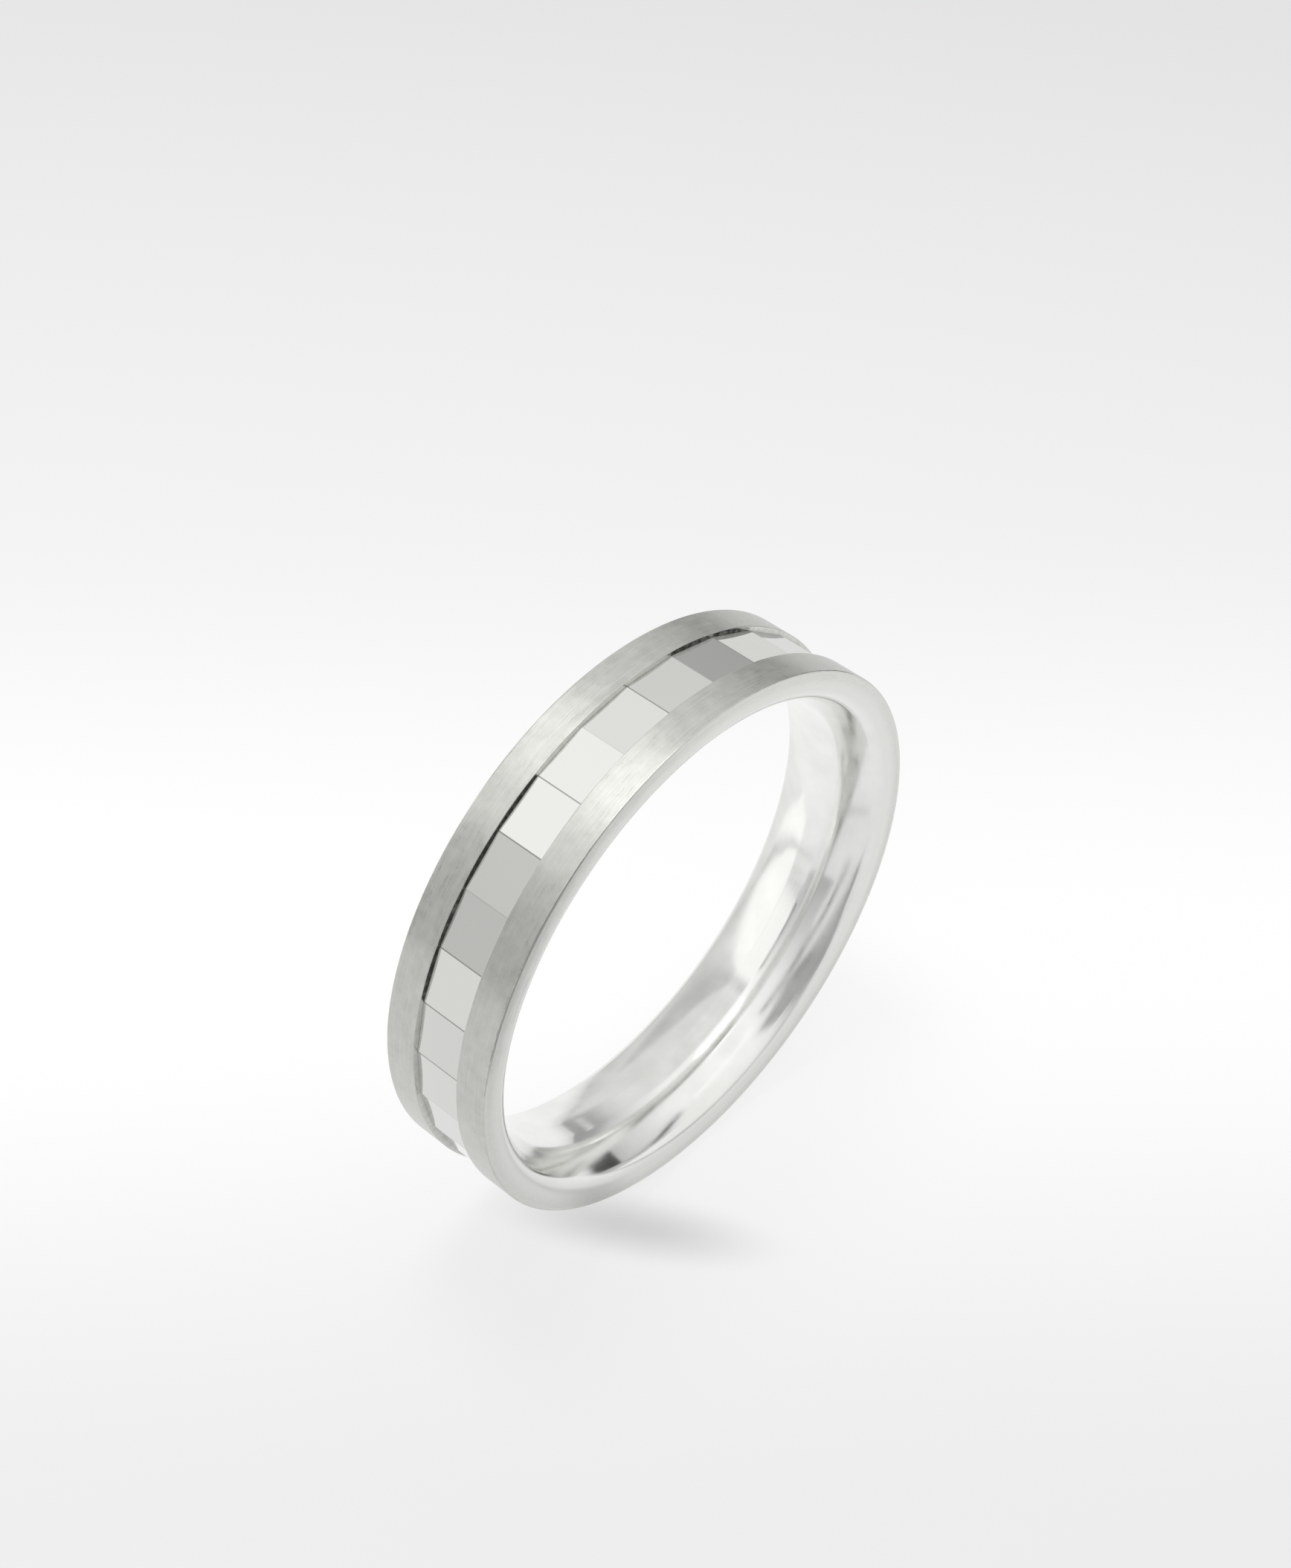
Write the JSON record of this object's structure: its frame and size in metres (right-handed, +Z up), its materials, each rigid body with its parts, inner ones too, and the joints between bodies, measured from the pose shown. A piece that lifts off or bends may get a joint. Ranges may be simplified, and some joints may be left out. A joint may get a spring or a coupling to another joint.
{
  "type": "wedding band",
  "caption": "Comfort-fit wedding band: polished inner sleeve, mirror-faceted centre ring and two satin side rings.",
  "frame": {"origin": "centre of the finger bore at mid-width, the centre of the whole band", "axes": "+Y along the finger bore towards the rear rim, +Z up with the band standing on its tread, +X to the right"},
  "size_m": [0.0214, 0.0044, 0.0214],
  "materials": {
    "polished_bore": "polished white metal",
    "mirror_facets": "mirror-cut white metal",
    "satin_metal": "fine satin white metal"
  },
  "bodies": {
    "root": {"comfort_fit_sleeve": "polished_bore", "faceted_centre_ring": "mirror_facets", "front_side_ring": "satin_metal", "rear_side_ring": "satin_metal"}
  },
  "joints": []
}
